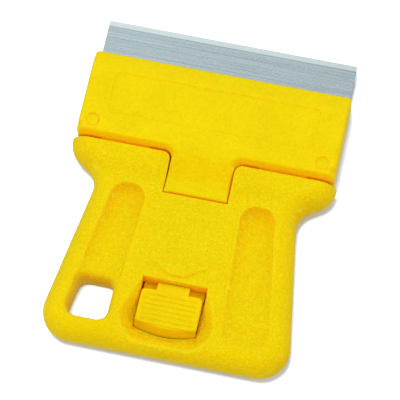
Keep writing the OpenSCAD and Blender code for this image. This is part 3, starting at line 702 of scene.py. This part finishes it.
# latch: a flat arm with a round root, a raised neck, and a ribbed tab with drafted sides and a bevelled lip
latch = {
    "low": 3.1, "armTop": 4.0, "armHalf": 4.7, "armInTab": 0.9, "rootRadius": 0.45,
    "neckHalf": 2.45, "neckLow": 3.7, "neckTop": 5.01, "neckInTab": 1, "catchAt": (20.62, 20.4), "catchTop": (4.16, 4.85),
    "tabHalf": 4.75, "tabFrom": 21.65, "tabTo": 28.3, "tabTop": 5.05, "tabLow": 3.6, "tabBow": 0.8, "tabAside": -0.1,
    "tabSlope": 0.5, "tabDraft": 0.12, "tabCorner": 0.7, "tabEdge": 0.25, "rearRound": 0.1, "rearSpare": 2,
    "lipRun": 0.85, "lipDrop": 0.8, "lipBend": 0.1,
    "ribs": 7, "ribPitch": 0.78, "ribHigh": 0.11, "ribWide": 0.27, "ribStart": 0.7, "ribMargin": 0.58, "ribFade": 0.24,
    "press": 4.0, "travel": 29.0, "pressGap": 0.05, "pressWide": 12, "pressLow": 2,
    "bladeTop": (2.53, 19.0, 7.04), "spineTop": (2.94, 7.04, 1.84), "jawTop": (2.3, 1.84, -0.3),
}


# height lost inside an upper edge: a quarter circle, then a straight wall that runs out by reach over the depth
def wallDrop(distance, r, depth, reach):
    return np.where(distance >= 0, edgeDrop(distance, r), r - distance * (depth - r) / reach)


# outline of the tab's front and sides, moved out sideways
def tabLoop(out):
    t = latch
    h, front, rear = t["tabHalf"] + out, -t["tabFrom"], -t["tabTo"] - t["rearSpare"]
    radii = [t["tabCorner"]] * 2 + [t["rearRound"]] * 2
    return roundLoop([(h, front), (-h, front), (-h, rear), (h, rear)], radii)


# tab: level top and eased ribs less the drops of its front, sides and bowed end, whose lip and wall are straight
def buildTab():
    t = latch
    turn = np.linspace(0, np.pi / 2, 9)
    r, thick, half, size = t["tabEdge"], t["tabTop"] - t["tabLow"], t["tabHalf"], t["tabTo"] - t["tabFrom"]
    lip = size - t["lipRun"]
    across = np.concatenate([np.linspace(0, half - r, 26)[:-1], half - r * (1 - np.sin(turn)), [half + t["tabDraft"]]])
    along = np.concatenate([
        r * (1 - np.cos(turn)),
        spread([r, 0.75, lip - 0.15], [8, 96], 0)[1:],
        np.linspace(lip - 0.1, lip + 0.15, 6),
        [size - 0.4, size - 0.12, size - 0.04, size, size + 0.06, size + t["tabSlope"]]])[:, None]
    x, along = np.broadcast_arrays(bothHalves(across[None, :]), along)
    y = -t["tabFrom"] - along * (1 - t["tabBow"] * (x / half) ** 2 / size)
    drop = wallDrop(-loopDistance(x, y, tabLoop(0)), r, thick, t["tabDraft"])
    bevel = softSlope(along - lip, t["lipDrop"] / t["lipRun"], t["lipBend"])
    wall = t["lipDrop"] + (along - size) * (thick - t["lipDrop"]) / t["tabSlope"]
    drop = drop + np.where(along > size, wall, bevel)
    crest = (np.arange(t["ribs"]) * t["ribPitch"] + t["ribStart"])[:, None, None]
    ribs = t["ribHigh"] * ease(1 - np.abs(-t["tabFrom"] - y - crest) / t["ribWide"]).max(0)
    z = t["tabTop"] - drop + ribs * ease((half - t["ribMargin"] - np.abs(x)) / t["ribFade"])
    tab = sheetSolid("latchArm", x, y, np.maximum(z, t["tabLow"] + 0.01), np.full(x.shape, t["tabLow"]))
    combine(tab, prism("tabPlan", tabLoop(t["tabDraft"]), 0, outside["high"]), "INTERSECT")
    tab.data.transform(Matrix.Translation((t["tabAside"], 0, 0)))
    return tab


# room under the pressed arm when the cover is out: tops of blade, spine and jaw, raised by the fall of the arm there
def pressRoom():
    t = latch
    fall = math.tan(math.radians(t["press"]))
    edge = [(at - t["travel"], top + t["pressGap"] + fall * (t["travel"] - cover["rootAt"] - at))
            for top, *ends in (t["bladeTop"], t["spineTop"], t["jawTop"]) for at in ends]
    return crossBar("pressRoom", t["pressWide"], [(edge[-1][0], t["pressLow"]), (edge[0][0], t["pressLow"]), *edge])


# arm, neck and root as bars across the part
def latchBars():
    t = latch
    front = -t["tabFrom"]
    back, neckBack = front - t["armInTab"], front - t["neckInTab"]
    arm = [(back, t["low"]), (rootY, t["low"]), (rootY, t["armTop"]), (back, t["armTop"])]
    catch = [(-at, high) for at, high in zip(t["catchAt"], t["catchTop"])]
    neck = [(catch[0][0], t["neckLow"]), *catch, (front, t["neckTop"]),
            (neckBack, t["neckTop"]), (neckBack, t["neckLow"])]
    root = roundProfile(rootY, cover["rootHigh"], t["rootRadius"])
    return (crossBar("arm", 2 * t["armHalf"], arm),
            crossBar("neck", 2 * t["neckHalf"], neck[::-1], t["tabAside"]),
            crossBar("root", 2 * t["armHalf"], root))


latchPiece = buildTab()
for tool in latchBars():
    combine(latchPiece, tool, "UNION")
combine(latchPiece, pressRoom(), "DIFFERENCE")
settle(latchPiece, "latch", "latch_arm", latchFinish)


view = {
    "roll": -12.35, "pan": -1.88, "tilt": -20.5, "distance": 450.0, "offset": (-0.594, 0.580, -3.6),
    "pixelsPerMm": 6.534, "picture": 400, "sensor": 36, "near": 0.01,
}


# camera from the photograph's fitted angles: turned about z, then y, then x, and set back along its own axis
def buildCamera():
    turn = (Matrix.Rotation(math.radians(view["tilt"]), 3, "X") @ Matrix.Rotation(math.radians(view["pan"]), 3, "Y")
            @ Matrix.Rotation(math.radians(view["roll"]), 3, "Z"))
    spot = turn.transposed() @ Vector((0, 0, view["distance"])) - Vector(view["offset"])
    data = bpy.data.cameras.new("photoCamera")
    data.sensor_width = view["sensor"]
    data.lens = view["sensor"] * view["pixelsPerMm"] * view["distance"] / view["picture"]
    data.clip_start = view["near"]
    camera = bpy.data.objects.new("photoCamera", data)
    bpy.context.scene.collection.objects.link(camera)
    camera.matrix_world = Matrix.Translation(spot * mm) @ turn.transposed().to_4x4()
    bpy.context.scene.camera = camera
    return turn


pictureAxes = buildCamera()
print("camera set")

sheet = {"half": 2, "colour": (0.72, 0.80, 0.98), "specular": 0.1, "cloudScale": 40.0, "rough": (0.75, 0.9)}


# floor: one wide pale sheet with faint cloudy roughness, which throws no light up at the part
def buildFloor():
    h = sheet["half"]
    mesh = bpy.data.meshes.new("floor")
    mesh.from_pydata([(-h, -h, 0), (h, -h, 0), (h, h, 0), (-h, h, 0)], [], [(0, 1, 2, 3)])
    floor = bpy.data.objects.new("floor", mesh)
    bpy.context.scene.collection.objects.link(floor)
    finish, tree, shader = shaderOf("pale floor")
    shader.inputs["Base Color"].default_value = (*sheet["colour"], 1)
    shader.inputs["Specular IOR Level"].default_value = sheet["specular"]
    clouds = addNode(tree, "ShaderNodeTexNoise", Scale=sheet["cloudScale"])
    rough = mapRange(tree, clouds.outputs["Fac"], (0.0, 1.0), sheet["rough"])
    tree.links.new(rough, shader.inputs["Roughness"])
    mesh.materials.append(finish)
    floor.visible_diffuse = floor.visible_glossy = floor.visible_shadow = False
    return floor


floorSheet = buildFloor()

lights = {
    "key": {"way": (-0.15, 0.85, 0.75), "away": 0.5, "size": 0.3, "power": 1.15, "colour": (0.72, 1.0, 0.80)},
    "rightFill": {"way": (0.9, 0.0, 0.7), "away": 0.6, "size": 0.5, "power": 1.0, "colour": (1.0, 0.96, 0.92)},
    "leftFill": {"way": (-0.85, -0.5, 0.6), "away": 0.6, "size": 0.5, "power": 1.1, "colour": (0.95, 1.0, 0.95)},
    "floorWash": {"way": (-0.12, 0.33, 0.93), "away": 1.0, "size": 0.25, "power": 12.0, "colour": (1.0, 1.0, 1.0)},
}
studio = {"above": (0.57, 0.45, 0.43), "below": (0.55, 0.54, 0.30), "fade": (-0.15, 0.15)}


# lights: square lamps placed by picture directions (right, up, towards the camera) from the middle of the part
def buildLights():
    for name, lamp in lights.items():
        data = bpy.data.lights.new(name, "AREA")
        data.size = lamp["size"]
        data.energy = lamp["power"]
        data.color = lamp["colour"]
        light = bpy.data.objects.new(name, data)
        bpy.context.scene.collection.objects.link(light)
        way = (pictureAxes.transposed() @ Vector(lamp["way"])).normalized()
        light.matrix_world = Matrix.Translation(way * lamp["away"]) @ way.to_track_quat("Z", "Y").to_matrix().to_4x4()
        if name == "floorWash":  # this lamp lights the floor alone
            light.light_linking.receiver_collection = bpy.data.collections.new("floorOnly")
            light.light_linking.receiver_collection.objects.link(floorSheet)


# studio: a dome of light that fades from one colour below to another above
def buildStudio():
    world = bpy.data.worlds.new("studio")
    bpy.context.scene.world = world
    world.use_nodes = True
    tree = world.node_tree
    height = addNode(tree, "ShaderNodeSeparateXYZ")
    tree.links.new(addNode(tree, "ShaderNodeTexCoord").outputs["Generated"], height.inputs["Vector"])
    dome = addNode(tree, "ShaderNodeMix", data_type="RGBA")
    dome.inputs["A"].default_value = (*studio["below"], 1)
    dome.inputs["B"].default_value = (*studio["above"], 1)
    tree.links.new(mapRange(tree, height.outputs["Z"], studio["fade"]), dome.inputs["Factor"])
    tree.links.new(dome.outputs["Result"], tree.nodes["Background"].inputs["Color"])


buildLights()
buildStudio()
bpy.context.scene.view_settings.view_transform = "Standard"
bpy.context.scene.cycles.max_bounces = 32  # light has to find its way round in the narrow gaps
bpy.context.scene.cycles.diffuse_bounces = 24
print("light and floor set")
